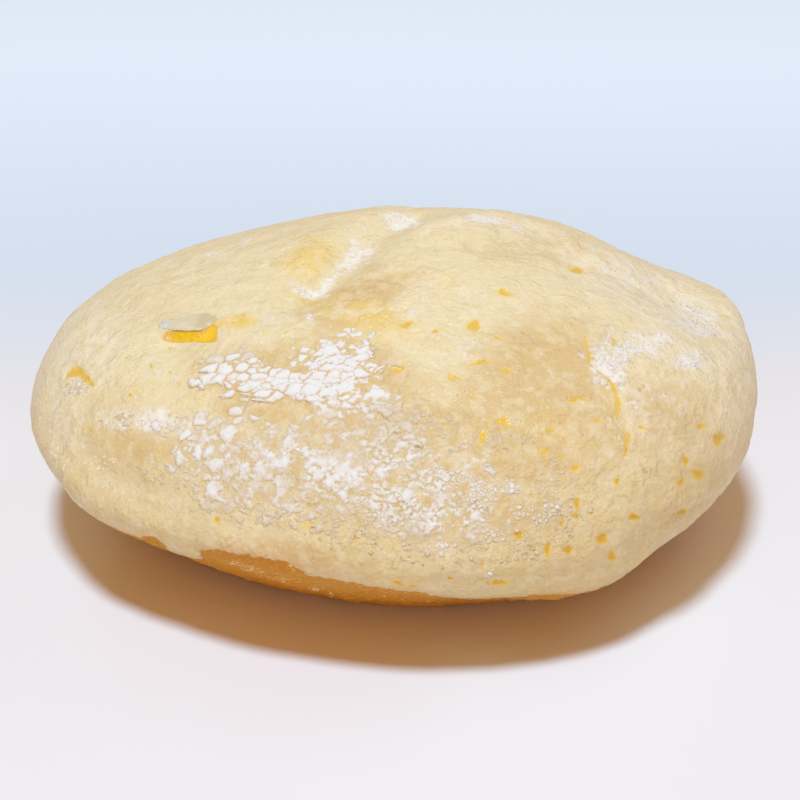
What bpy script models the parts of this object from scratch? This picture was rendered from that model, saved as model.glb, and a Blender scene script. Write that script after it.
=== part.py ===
"""A round mochi bun: one soft, chewy loaf with a browned base, torn pits and a cracked skin.

Units are metres and degrees. +Z is up, and the bun rests on z = 0. The origin is the middle of
the bun's bounding box at its base, +X is towards its thick end and -Y towards its front.
A place on the skin is named by a direction, (azimuth, height angle), as seen from the middle
of the rim: azimuth 0 is +X and -90 is the front.
"""

import math
from collections import namedtuple

import bmesh
import bpy
import numpy as np
from mathutils import Matrix, Vector
from mathutils.bvhtree import BVHTree

# Driving dimensions of the loaf.
RIM_HEIGHT = 0.0138         # the widest level, above what the bun rests on
RIM_RISE_RIGHT = -0.0007    # how much higher the rim is at the right end
RIM_RISE_BACK = -0.0015     # how much higher the rim is at the back
RIM_RISE_ENDS = 0.0016      # how much higher the rim is at both ends than at front and back
CROWN_HEIGHT = 0.0358
CROWN_LEAN = (0.0028, 0.0023)   # the crown's offset from the middle
OUTLINE_SQUARENESS = 2.03   # exponent of the plan outline, 2 for an ellipse
CORNER_SHARE = 0.036        # depth of the three soft corners of the outline
CORNER_AZIMUTH = 43.0       # azimuth of the first of them
HULL_TURN = 60.0            # height angle, below the rim, at which the hull meets the base

# Each side's half size, the roundness of its dome and of its hull, and the base's share of it.
Side = namedtuple("Side", "reach dome hull base")
LEFT = Side(0.0469, 2.07, 1.36, 0.59)
RIGHT = Side(0.0444, 2.58, 1.64, 0.64)
FRONT = Side(0.0379, 2.00, 1.12, 0.56)
BACK = Side(0.0386, 2.05, 2.00, 0.68)

# Broad swellings and hollows of the hand-shaped dough.
Swell = namedtuple("Swell", "azimuth angle spread height")
SWELLS = (
    Swell(17, 23, 13, 0.0029),      # shoulder above the thick end
    Swell(10, 45, 18, -0.0022),     # soft fall before the shoulder
    Swell(0, 0, 20, 0.0011),        # thick end
    Swell(90, 72, 24, 0.0029),      # crown
    Swell(130, 50, 24, 0.0013),     # back of the thin end
    Swell(160, 30, 22, 0.0017),     # top of the thin end
    Swell(182, 0, 16, -0.0004),     # tip of the thin end
    Swell(205, -25, 20, -0.0002),   # under the thin end
    Swell(238, -35, 22, -0.0001),   # front left undercut
    Swell(300, -35, 20, -0.0004),   # front right undercut
    Swell(330, -30, 18, -0.0008),   # right undercut
    Swell(303, -22, 11, 0.0025),    # corner at the front right
    Swell(212, -14, 11, 0.0022),    # corner at the front left
    Swell(235, -8, 14, 0.0006),     # overhang at the front left
    Swell(45, 30, 18, 0.0006),      # back right
    Swell(150, 10, 14, 0.0004),     # back left
)
SWELL_FADE = 0.0039         # height above the base over which the swellings fade in

# The rim is rounded off by easing its points towards their neighbours.
RIM_BAND = 24.0             # height angle, above and below the rim, that is eased
RIM_EASINGS = 8

# Folds that run along the skin: the directions that a fold passes, its half width and depth.
Fold = namedtuple("Fold", "path half_width depth")
FOLDS = (
    Fold(((86, 66), (156, 77), (-157, 68), (-144, 57)), 0.0030, 0.0016),    # valley by the crown
    Fold(((23, 61), (5, 49), (-2, 37), (2, 22)), 0.0050, 0.0007),           # hollow in the shoulder
    Fold(((-159, 7), (-152, 7), (-143, 7), (-134, 5)), 0.0016, 0.0006),     # crease at the thin end
    Fold(((-48, 1), (-41, 2), (-28, -1), (-18, -3)), 0.0014, 0.0006),       # crease at the thick end
    Fold(((68, 74), (52, 66), (35, 61)), 0.0018, -0.0005),                  # ridge behind the crown
    Fold(((47, 53), (38, 41), (26, 32), (19, 22)), 0.0030, -0.0006),        # ridge to the shoulder
)

# The base is baked brown and lies a little inside the pale skin that bulges over it.
BROWN_LINE = 0.0064         # middle height at which the pale skin ends
BROWN_LINE_TILT = 0.0054    # how much higher it ends at the front left
BROWN_LINE_AZIMUTH = -135.0     # where it is highest
BROWN_LINE_WAVE = 0.0006    # unevenness of that line, the sum of two waves around the bun
BROWN_WAVES = ((5, 34, 1.0), (11, 0, 0.5))  # their number, turn and share
BROWN_SET_BACK = 0.0005
BROWN_STEP = 0.0012         # height over which the skin steps in

# Torn places: direction, length, width and turn of each gouge, and how far it cuts in.
Gouge = namedtuple("Gouge", "azimuth angle length width turn depth")
SLOT = Gouge(-155, 31, 0.0070, 0.0016, 6, 0.0011)
CRACK = (
    Gouge(-38, 34, 0.0026, 0.0007, -75, 0.0004),
    Gouge(-42, 30, 0.0026, 0.0008, -60, 0.0004),
    Gouge(-42, 26, 0.0026, 0.0008, -50, 0.0004),
    Gouge(-44, 23, 0.0024, 0.0013, -80, 0.0005),
    Gouge(-46, 18, 0.0024, 0.0007, -60, 0.0004),
)
PITS = (
    Gouge(-167, 16, 0.0026, 0.0015, -30, 0.0006),
    Gouge(-78, 50, 0.0012, 0.0009, 10, 0.0005),
    Gouge(-62, 49, 0.0016, 0.0012, 0, 0.0005),
    Gouge(-92, 39, 0.0018, 0.0010, 20, 0.0005),
    Gouge(-67, 38, 0.0024, 0.0008, -15, 0.0005),
    Gouge(-74, 22, 0.0016, 0.0013, 60, 0.0006),
    Gouge(-69, 24, 0.0018, 0.0013, 0, 0.0006),
    Gouge(-52, 26, 0.0034, 0.0007, 0, 0.0005),
    Gouge(-27, 10, 0.0018, 0.0013, 45, 0.0005),
    Gouge(-35, 7, 0.0018, 0.0012, 10, 0.0005),
    Gouge(-40, 8, 0.0022, 0.0008, 30, 0.0005),
    Gouge(-57, 3, 0.0015, 0.0012, -50, 0.0005),
    Gouge(-71, 6, 0.0013, 0.0012, 0, 0.0006),
    Gouge(-75, -1, 0.0017, 0.0008, 5, 0.0005),
)
RAGGED = 0.18               # unevenness of a torn edge, as a share of its size

# The skin flake that has lifted above the slot.
FLAKE = Gouge(-161, 33, 0.0074, 0.0022, 6, 0.0009)
FLAKE_LIFT = 0.0002

# Fineness of the meshes.
SKIN_CUTS = 27              # cuts along each edge of the cube that becomes the skin
GOUGE_SIDES = 12
GOUGE_RINGS = 6
SEED = 7

# Finishes: colour, roughness.
SKIN_FINISH = ((0.80, 0.67, 0.42, 1.0), 0.5)
INSIDE_FINISH = ((0.80, 0.50, 0.10, 1.0), 0.4)


def clear_scene():
    for old in list(bpy.data.objects):
        bpy.data.objects.remove(old)


def new_collection(name):
    made = bpy.data.collections.new(name)
    bpy.context.scene.collection.children.link(made)
    return made


def new_material(name, finish):
    """A plain dough finish of one colour."""
    colour, roughness = finish
    made = bpy.data.materials.new(name)
    made.use_nodes = True
    shader = made.node_tree.nodes["Principled BSDF"]
    shader.inputs["Base Color"].default_value = colour
    shader.inputs["Roughness"].default_value = roughness
    shader.inputs["Metallic"].default_value = 0.0
    return made


def direction(azimuth, angle):
    """The unit vector at an azimuth and a height angle, both in degrees."""
    a, e = math.radians(azimuth), math.radians(angle)
    return np.array([math.cos(e) * math.cos(a), math.cos(e) * math.sin(a), math.sin(e)])


def by_side(c, s, left, right, front, back):
    """A value for each azimuth, blended between those of the four sides."""
    across = np.where(c < 0, left, right) * c**2
    along = np.where(s < 0, front, back) * s**2
    return across + along


def side_values(c, s, field):
    sides = [getattr(side, field) for side in (LEFT, RIGHT, FRONT, BACK)]
    return by_side(c, s, *sides)


def outline_radius(azimuth):
    """Plan radius of the rim: a rounded oval with three soft corners."""
    c, s = np.cos(azimuth), np.sin(azimuth)
    half_x = np.where(c < 0, LEFT.reach, RIGHT.reach)
    half_y = np.where(s < 0, FRONT.reach, BACK.reach)
    power = OUTLINE_SQUARENESS
    oval = ((np.abs(c) / half_x) ** power + (np.abs(s) / half_y) ** power) ** (-1 / power)
    corners = 1 + CORNER_SHARE * np.cos(3 * (azimuth - math.radians(CORNER_AZIMUTH)))
    return oval * corners


def loaf(towards):
    """The loaf's surface for each unit direction: dome, rim, hull and flat base."""
    azimuth = np.arctan2(towards[:, 1], towards[:, 0])
    angle = np.arcsin(np.clip(towards[:, 2], -1, 1))
    c, s = np.cos(azimuth), np.sin(azimuth)
    radius = outline_radius(azimuth)
    rim = RIM_HEIGHT + RIM_RISE_RIGHT * c + RIM_RISE_BACK * s + RIM_RISE_ENDS * (c**2 - s**2)
    base = side_values(c, s, "base")

    dome = 2 / side_values(c, s, "dome")
    dome_reach = np.cos(angle).clip(0, 1) ** dome
    dome_rise = np.abs(np.sin(angle)) ** dome

    turn = math.radians(HULL_TURN)
    hull = 2 / side_values(c, s, "hull")
    down = np.clip(-angle / turn, 0, 1) * math.pi / 2
    hull_reach = base + (1 - base) * np.cos(down).clip(0, 1) ** hull
    hull_rise = 1 - np.sin(down) ** hull
    inward = np.clip((-angle - turn) / (math.pi / 2 - turn), 0, 1)

    above = angle >= 0
    reach = np.where(above, dome_reach, np.where(inward > 0, base * (1 - inward), hull_reach))
    height = np.where(above, rim + (CROWN_HEIGHT - rim) * dome_rise, rim * hull_rise)
    height = np.where(inward > 0, 0, height)
    lean = np.where(above, dome_rise, 0)
    return np.stack([
        reach * radius * c + CROWN_LEAN[0] * lean,
        reach * radius * s + CROWN_LEAN[1] * lean,
        height,
    ], axis=1)


def swell(points, towards):
    """Pushes the skin out or in at each broad swelling, fading out to nothing at the base."""
    push = np.zeros(len(points))
    for each in SWELLS:
        away = np.arccos(np.clip(towards @ direction(each.azimuth, each.angle), -1, 1))
        push += each.height * np.exp(-(away / math.radians(each.spread)) ** 2)
    fade = np.clip(points[:, 2] / SWELL_FADE, 0, 1)
    moved = points + (push * fade)[:, None] * towards
    moved[:, 2] = moved[:, 2].clip(0)
    return moved


def ease_rim(mesh, towards):
    """Rounds the edge between the dome and the hull, and leaves the flat base as it is."""
    made = bmesh.new()
    made.from_mesh(mesh)
    made.verts.ensure_lookup_table()
    limit = math.sin(math.radians(RIM_BAND))
    band = [made.verts[i] for i in np.flatnonzero(np.abs(towards[:, 2]) < limit)]
    for _ in range(RIM_EASINGS):
        bmesh.ops.smooth_vert(
            made, verts=band, factor=0.5, use_axis_x=True, use_axis_y=True, use_axis_z=True
        )
    made.to_mesh(mesh)
    made.free()


def from_rim(points):
    """Unit directions to the points from the middle of the rim."""
    out = points - (0, 0, RIM_HEIGHT)
    return out / np.linalg.norm(out, axis=1, keepdims=True)


def distance_to_path(points, path):
    """How far each point is from a line through the path's points."""
    nearest = np.full(len(points), np.inf)
    for start, end in zip(path, path[1:]):
        run = end - start
        share = np.clip((points - start) @ run / (run @ run), 0, 1)
        gap = np.linalg.norm(points - start - share[:, None] * run, axis=1)
        nearest = np.minimum(nearest, gap)
    return nearest


def on_skin(points, azimuth, angle):
    """The skin's vertex nearest to a direction from the middle of the rim."""
    return points[np.argmax(from_rim(points) @ direction(azimuth, angle))]


def fold_depth(points):
    """How far the folds sink each point of the skin."""
    depth = np.zeros(len(points))
    for fold in FOLDS:
        path = [on_skin(points, *place) for place in fold.path]
        gap = distance_to_path(points, path)
        depth += fold.depth * np.exp(-(gap / fold.half_width) ** 2)
    return depth * np.clip(points[:, 2] / RIM_HEIGHT, 0, 1)


def base_set_back(points):
    """How far the browned hull lies inside the pale skin, along a wavy line."""
    azimuth = np.arctan2(points[:, 1], points[:, 0])
    wave = sum(
        share * np.sin(number * azimuth + math.radians(turn))
        for number, turn, share in BROWN_WAVES
    )
    tilt = BROWN_LINE_TILT * np.cos(azimuth - math.radians(BROWN_LINE_AZIMUTH))
    line = BROWN_LINE + tilt + BROWN_LINE_WAVE * wave
    below = np.clip((line - points[:, 2]) / BROWN_STEP, 0, 1)
    return BROWN_SET_BACK * below * below * (3 - 2 * below)


def quad_sphere(name):
    """A sphere of even quads, from a cube whose faces are cut into a grid."""
    made = bmesh.new()
    bmesh.ops.create_cube(made, size=2)
    bmesh.ops.subdivide_edges(made, edges=made.edges[:], cuts=SKIN_CUTS, use_grid_fill=True)
    for vertex in made.verts:
        even = [math.tan(t * math.pi / 4) for t in vertex.co]
        vertex.co = Vector(even).normalized()
    mesh = bpy.data.meshes.new(name)
    made.to_mesh(mesh)
    made.free()
    return mesh


def read_points(mesh):
    flat = np.empty(len(mesh.vertices) * 3)
    mesh.vertices.foreach_get("co", flat)
    return flat.reshape(-1, 3)


def read_normals(mesh):
    flat = np.empty(len(mesh.vertices) * 3)
    mesh.vertex_normals.foreach_get("vector", flat)
    return flat.reshape(-1, 3)


def set_points(mesh, points):
    mesh.vertices.foreach_set("co", points.astype(np.float32).ravel())
    mesh.update()


def make_bun(collection, material):
    """The loaf with its swellings, folds and set-back base."""
    mesh = quad_sphere("mochi_bun")
    towards = read_points(mesh)
    set_points(mesh, swell(loaf(towards), towards))
    ease_rim(mesh, towards)

    points = read_points(mesh)
    normals = read_normals(mesh)
    inward = fold_depth(points) + base_set_back(points)
    points = points - inward[:, None] * normals * (points[:, 2:] > 0)
    points[:, 2] = points[:, 2].clip(0)
    middle = (points.min(axis=0) + points.max(axis=0)) / 2
    set_points(mesh, points - (middle[0], middle[1], 0))

    mesh.shade_smooth()
    mesh.materials.append(material)
    bun = bpy.data.objects.new("mochi_bun", mesh)
    collection.objects.link(bun)
    return bun


def skin_frame(tree, azimuth, angle):
    """Where a direction leaves the skin, and axes there: along the skin, across it and out."""
    towards = Vector(direction(azimuth, angle))
    place, normal, _, _ = tree.ray_cast(Vector((0, 0, RIM_HEIGHT)), towards)
    along = Vector((0, 0, 1)).cross(normal).normalized()
    across = normal.cross(along)
    return place, Matrix((along, across, normal)).transposed()


def make_gouge(name, gouge, sink, tree, rng, collection, material):
    """A ragged lens set in the skin, its middle this far below the surface."""
    made = bmesh.new()
    bmesh.ops.create_uvsphere(made, u_segments=GOUGE_SIDES, v_segments=GOUGE_RINGS, radius=1)
    ragged = 1 + RAGGED * rng.uniform(-1, 1, GOUGE_SIDES)
    for vertex in made.verts:
        x, y, z = vertex.co
        spoke = round(math.atan2(y, x) / math.tau * GOUGE_SIDES) % GOUGE_SIDES
        vertex.co = Vector((
            x * ragged[spoke] * gouge.length / 2,
            y * ragged[spoke] * gouge.width / 2,
            z * gouge.depth,
        ))
    mesh = bpy.data.meshes.new(name)
    made.to_mesh(mesh)
    made.free()
    mesh.materials.append(material)

    place, axes = skin_frame(tree, gouge.azimuth, gouge.angle)
    turned = axes @ Matrix.Rotation(math.radians(gouge.turn), 3, "Z")
    made_object = bpy.data.objects.new(name, mesh)
    made_object.matrix_world = (
        Matrix.Translation(place - axes.col[2] * sink) @ turned.to_4x4()
    )
    collection.objects.link(made_object)
    return made_object


def hide_helper(helper):
    helper.hide_render = True
    helper.display_type = "WIRE"


def make_gouges(tree, collection, material):
    """Cutters for the slot, the crack and the pits."""
    rng = np.random.default_rng(SEED)
    named = [("slot", SLOT)]
    named += [(f"crack_{i}", each) for i, each in enumerate(CRACK)]
    named += [(f"pit_{i}", each) for i, each in enumerate(PITS)]
    for name, gouge in named:
        made = make_gouge(name, gouge, 0, tree, rng, collection, material)
        hide_helper(made)


def make_flake(tree, collection, material):
    """The lifted flake, which the bun takes up by a union."""
    rng = np.random.default_rng(SEED + 1)
    made = make_gouge("flake", FLAKE, -FLAKE_LIFT, tree, rng, collection, material)
    hide_helper(made)
    return made


def add_boolean(target, name, operation, helper=None, collection=None):
    modifier = target.modifiers.new(name, "BOOLEAN")
    modifier.operation = operation
    modifier.solver = "EXACT"
    if collection is None:
        modifier.object = helper
    else:
        modifier.operand_type = "COLLECTION"
        modifier.collection = collection


def main():
    clear_scene()
    parts = new_collection("Mochi bun")
    gouges = new_collection("Gouges")
    flakes = new_collection("Flakes")
    skin = new_material("Pale mochi skin", SKIN_FINISH)
    inside = new_material("Amber inside", INSIDE_FINISH)

    bun = make_bun(parts, skin)
    bun.data.materials.append(inside)
    tree = BVHTree.FromPolygons(
        [v.co for v in bun.data.vertices],
        [tuple(face.vertices) for face in bun.data.polygons],
    )
    flake = make_flake(tree, flakes, skin)
    make_gouges(tree, gouges, inside)
    add_boolean(bun, "Flake", "UNION", helper=flake)
    add_boolean(bun, "Gouges", "DIFFERENCE", collection=gouges)


main()
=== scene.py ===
"""A round mochi bun: chewy pale skin with torn pits, a cracked crust of flour and a browned base.

Lengths are metres. Marks on the skin are placed by the photograph's pixels, through the same
camera that the stage sets up, and every piece then lies on the skin itself.
"""

import math
from collections import namedtuple

import bmesh
import bpy
import numpy as np
from bpy.props import FloatProperty, FloatVectorProperty, PointerProperty
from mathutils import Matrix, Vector
from mathutils.bvhtree import BVHTree


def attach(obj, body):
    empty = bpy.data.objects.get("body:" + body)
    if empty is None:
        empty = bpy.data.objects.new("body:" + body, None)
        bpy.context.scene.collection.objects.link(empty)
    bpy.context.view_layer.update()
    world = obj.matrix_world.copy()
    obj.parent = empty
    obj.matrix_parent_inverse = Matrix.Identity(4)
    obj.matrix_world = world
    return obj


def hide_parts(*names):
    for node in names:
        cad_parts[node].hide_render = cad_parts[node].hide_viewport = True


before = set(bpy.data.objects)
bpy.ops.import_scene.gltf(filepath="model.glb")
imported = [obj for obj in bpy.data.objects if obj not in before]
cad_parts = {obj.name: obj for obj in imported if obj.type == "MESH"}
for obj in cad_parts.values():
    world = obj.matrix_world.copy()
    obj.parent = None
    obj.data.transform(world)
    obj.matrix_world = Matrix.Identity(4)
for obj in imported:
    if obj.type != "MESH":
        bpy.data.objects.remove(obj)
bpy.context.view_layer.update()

bl_info = {
    "name": "Mochi Bun",
    "version": (1, 0, 0),
    "blender": (4, 5, 0),
    "location": "View3D > Sidebar > Mochi Bun",
    "description": "Builds a mochi bun with a cracked flour crust, and its studio",
    "category": "Add Mesh",
}

CAD_NODE = "mochi_bun"
BODY = "root"
MM = 0.001

# The photograph's camera.
PHOTO_SIZE = 800
FOCAL_PIXELS = 1844.21
SENSOR = 36.0
ELEVATION = math.radians(25)
DISTANCE = 0.2328
TARGET = Vector((0.00086, 0.00077, 0.01725))
UP = Vector((0, math.sin(ELEVATION), math.cos(ELEVATION)))
BACK = Vector((0, -math.cos(ELEVATION), math.sin(ELEVATION)))
EYE = TARGET + DISTANCE * BACK

# The skin is a sphere of quads, finer on the side that the photograph shows. It is laid on the
# solid from the middle of its rim, and then eased. A direction that slips between two faces of
# the solid takes the place nearest to a point NEAR_SKIN out.
RIM_MIDDLE = Vector((0, 0, 0.0138))
SKIN_CUTS = 127
SKIN_ZOOM = 1.8
SKIN_ZOOM_ANGLE = math.radians(38)
EASING_ROUNDS = 40
EASING_SPACING = 0.3 * MM
NEAR_SKIN = 0.03
MERGE_DISTANCE = 1e-6
TOUCHES_FLOOR = 1e-5

# How far a point has to face the camera, to carry what the photograph shows there, and how
# strong the patches of flour have to be, for the crust to lie there.
SEEN_FROM = 0.08
CRUST_SEEN_FROM = 0.12
FLOUR_LEAST = 0.05


def table(kind, *rows):
    """Makes each row a mark or a patch."""
    return [kind(*row) for row in rows]


# Marks in photo pixels: a middle, a size across, and a turn in degrees, clockwise.
Mark = namedtuple("Mark", "x y width height turn", defaults=(0,))
PITS = table(
    Mark,
    (71, 373, 15, 9, -40), (78, 370, 13, 11), (85, 377, 15, 9, 50), (90, 383, 9, 7, 50),
    (131, 395, 6, 5), (171, 348, 8, 5, 50), (129, 358, 7, 4, 20), (152, 366, 5, 3),
    (169, 372, 5, 3, 30), (91, 429, 9, 5, 20), (83, 428, 5, 3), (101, 445, 5, 5, 20),
    (85, 442, 4, 4), (134, 448, 9, 3), (160, 453, 5, 4), (217, 520, 6, 9), (406, 324, 14, 7, -20),
    (435, 331, 7, 5), (474, 325, 15, 12), (497, 337, 8, 3, 10), (504, 292, 14, 6, 15),
    (578, 269, 14, 7, 10), (398, 369, 13, 8, -10), (453, 377, 11, 7, 20), (480, 362, 24, 5, -10),
    (506, 370, 13, 6, 20), (475, 397, 6, 3), (443, 423, 5, 8, -30), (483, 438, 13, 15, 20),
    (489, 425, 5, 5), (504, 422, 18, 12, 30), (498, 431, 6, 6), (550, 431, 11, 8, -20),
    (546, 451, 14, 7, -15), (560, 456, 9, 4), (575, 468, 14, 6, -10), (577, 399, 28, 4, -12),
    (597, 420, 9, 5, 20), (614, 341, 11, 6, 60), (642, 427, 8, 5, 20), (702, 426, 12, 6, -30),
    (719, 439, 13, 17, 20), (686, 461, 8, 12), (699, 474, 15, 12, 20), (681, 482, 15, 6, -40),
    (617, 481, 6, 12, 10), (684, 513, 12, 8, -30), (634, 517, 13, 9, 10), (602, 539, 14, 13, 20),
    (612, 556, 8, 12), (568, 550, 12, 10, 20), (577, 504, 6, 18), (575, 516, 13, 6, 10),
    (562, 523, 6, 12, 20), (548, 549, 7, 20, 10), (533, 549, 11, 6, 30), (519, 535, 14, 11, 5),
    (313, 529, 13, 6, 20), (320, 541, 5, 5), (354, 538, 8, 5), (375, 544, 10, 6), (377, 525, 6, 4),
    (306, 505, 5, 8), (397, 583, 8, 5), (412, 587, 12, 3), (450, 579, 7, 4), (499, 583, 18, 7),
    (482, 565, 7, 5),
)
SLOT_TEARS = table(Mark, (190, 336, 54, 13, 1), (211, 331, 11, 15, 10))

# How square and how ragged their outlines are, and where each of the slot's waves begins. An
# outline has four waves, each with its number of turns round the mark.
PIT_SQUARENESS = 1.6
PIT_RAGGED = 0.22
SLOT_SQUARENESS = 5.0
SLOT_RAGGED = 0.06
SLOT_TURNS = (0.4, 2.0, 4.0, 1.0)
WAVES = (3, 2, 5, 7)

# The crack in photo pixels: the places that it passes, each with its half width there, and how
# far to its sides it can have an effect.
CRACK = ((584, 334, 0.4), (586, 342, 2.2), (588, 352, 1.2), (590, 358, 3.6), (588, 364, 1.0),
         (594, 368, 0.4), (600, 372, 2.0), (608, 377, 1.6), (613, 383, 2.8), (616, 390, 3.2),
         (617, 396, 2.2), (620, 402, 5.6), (619, 408, 3.0), (617, 415, 1.6), (621, 422, 0.6),
         (625, 428, 1.2), (629, 435, 3.4), (627, 444, 2.6), (626, 452, 2.4), (622, 459, 0.6),
         (618, 470, 0.5), (618, 480, 0.0))
CRACK_REACH = 12

# Folds: a line with its half widths, and how high it lifts the skin, in millimetres.
Fold = namedtuple("Fold", "line height")
FOLDS = (
    Fold(((412, 216, 12), (388, 232, 14), (365, 246, 15), (338, 268, 14), (311, 294, 9)), -0.60),
    Fold(((385, 240, 8), (402, 233, 8), (425, 227, 8), (457, 222, 7), (489, 230, 6)), 0.42),
    Fold(((394, 224, 5), (420, 216, 5), (450, 212, 5)), -0.20),
    Fold(((430, 240, 5), (452, 234, 5), (473, 232, 5), (490, 243, 4)), 0.28),
    Fold(((440, 246, 5), (462, 240, 5), (482, 249, 4)), -0.20),
    Fold(((506, 232, 6), (530, 244, 6), (552, 262, 6)), 0.18),
    Fold(((290, 250, 10), (318, 256, 12), (334, 276, 9)), 0.25),
    Fold(((270, 300, 8), (300, 303, 8), (336, 296, 8), (366, 276, 8)), 0.20),
    Fold(((540, 242, 8), (600, 270, 9), (660, 298, 10), (700, 324, 9)), -0.28),
    Fold(((545, 229, 7), (610, 256, 8), (668, 281, 8)), 0.25),
    Fold(((600, 300, 7), (650, 325, 8), (700, 352, 8)), 0.15),
    Fold(((58, 442, 5), (66, 458, 5), (80, 472, 5)), -0.22),
    Fold(((64, 436, 5), (76, 456, 5), (92, 470, 5)), 0.18),
    Fold(((100, 470, 9), (140, 488, 9), (180, 498, 9)), -0.12),
    Fold(((676, 515, 3), (692, 509, 4), (712, 499, 3)), -0.35),
    Fold(((674, 507, 4), (690, 501, 5), (708, 492, 4)), 0.25),
    Fold(((600, 558, 5), (640, 540, 6), (676, 515, 5)), -0.15),
    Fold(((146, 543, 4), (154, 539, 4), (164, 545, 4)), -0.40),
    Fold(((166, 545, 6), (180, 550, 6), (196, 554, 5)), 0.30),
    Fold(((560, 330, 5), (590, 352, 6), (606, 372, 6), (622, 402, 7), (628, 440, 6)), -0.16),
    Fold(((640, 350, 6), (652, 400, 7), (648, 450, 6)), 0.14),
)

# Places where the browned base ends and the pale skin begins, in photo pixels, and how much
# lower than that it really ends there, in millimetres.
BROWN_EDGE = ((86, 511, 1.1), (100, 519, 1.1), (126, 531, 1.1), (140, 537, 0.6), (147, 538, 0),
              (162, 541, 0), (167, 545, 0), (180, 550, 0), (190, 553, 0), (196, 553, 0),
              (201, 551, 0), (218, 552, 0), (239, 556, 0), (260, 560, 0), (275, 563, 0),
              (288, 565, 0), (302, 574, 0), (316, 580, 0), (338, 582, 0), (389, 590, 0),
              (420, 593, 0), (443, 597, 0), (470, 601, 0), (496, 599, 0), (532, 596, 0))
# How high it ends round the back, how far past the outermost places that begins, how far one
# pale fold hangs over it, and how soft its end is.
BROWN_BACK_HEIGHT = 5.5 * MM
BROWN_BACK_MARGIN = math.radians(25)
PALE_FOLD_DROP = 8 * MM
BROWN_BLEND = 0.55 * MM

# Soft patches in photo pixels: how far each field reaches, and how strong it is.
Patch = namedtuple("Patch", "x y across down amount turn", defaults=(0,))
SCALE_PLATES = table(
    Patch,
    (243, 372, 40, 21, 1.4, 8), (285, 387, 52, 16, 1.4, 6), (206, 384, 16, 8, 0.3, 10),
    (342, 358, 32, 16, 0.8, -14), (345, 374, 40, 14, 1.1, 6), (382, 368, 20, 7, 0.7, 8),
    (286, 348, 24, 15, -0.9, 10), (404, 424, 28, 11, 1.1, 38), (376, 410, 16, 8, 0.6, 30),
    (282, 416, 34, 10, -1.1),
)
LARGE_PLATES = table(
    Patch,
    (240, 448, 62, 36, 1.4, 4), (290, 458, 64, 42, 1.2), (345, 395, 34, 16, 1.0),
    (380, 450, 60, 40, 0.35), (284, 412, 32, 11, -1.0), (232, 502, 56, 18, 0.55, 12),
    (156, 424, 34, 10, 0.9, 6),
)
MEDIUM_PLATES = table(
    Patch,
    (332, 350, 36, 19, 1.3, -16), (366, 331, 18, 8, 0.4, -35), (204, 378, 16, 12, 0.6, 10),
    (250, 350, 34, 10, 0.5, 6), (334, 410, 28, 26, 1.4), (375, 395, 30, 12, 0.6, 20),
    (300, 476, 100, 44, 1.3, 8), (230, 498, 58, 22, 1.2, 12), (375, 440, 64, 46, 1.3),
    (375, 500, 80, 32, 1.2), (446, 520, 54, 22, 1.0), (146, 421, 40, 12, 0.5),
    (284, 412, 30, 10, -1.0), (462, 452, 24, 10, -0.8), (495, 478, 12, 9, 0.6),
)
SMALL_PLATES = table(
    Patch,
    (395, 470, 86, 62, 1.3), (450, 520, 104, 38, 1.3, 6), (525, 500, 46, 44, 1.3),
    (520, 445, 34, 18, 1.1, 12), (609, 357, 22, 26, 1.1), (630, 378, 24, 16, 0.4, 30),
    (648, 345, 20, 10, 0.8), (684, 362, 9, 6, 1.4), (699, 361, 8, 6, 1.2),
    (701, 320, 22, 11, 0.8, 45), (665, 300, 24, 8, 0.4, 20), (648, 465, 16, 14, 0.35, -40),
    (290, 480, 125, 50, 0.9, 6), (485, 455, 34, 9, -0.8), (455, 500, 16, 9, -0.4),
    (540, 578, 7, 5, 1.6, -40), (494, 574, 7, 4, 1.6), (441, 547, 8, 5, 1.2),
    (452, 519, 10, 8, 0.6), (266, 318, 5, 7, 0.9, 30), (277, 320, 5, 7, 0.9, -40),
    (311, 320, 6, 5, 1.2), (372, 320, 12, 5, 0.4, -30),
)
THICK = table(
    Patch,
    (262, 376, 92, 34, 1.0, 4), (336, 350, 52, 34, 1.0, -14), (360, 382, 56, 24, 0.8),
    (375, 440, 90, 70, 0.15), (265, 472, 140, 62, 0.43, 5), (225, 440, 60, 30, 0.15),
    (262, 360, 60, 8, -0.25, 6), (480, 500, 115, 60, 0.5), (450, 520, 22, 12, 0.5),
    (494, 575, 52, 10, 1.0), (441, 547, 12, 8, 0.6), (690, 361, 26, 10, 1.0),
    (350, 450, 60, 50, 0.04), (608, 358, 26, 28, 0.9), (646, 345, 20, 12, 0.7),
    (700, 322, 24, 16, 0.7, 40), (156, 424, 40, 12, 0.4), (275, 320, 20, 12, 0.6),
    (311, 320, 9, 8, 0.8),
)
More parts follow.
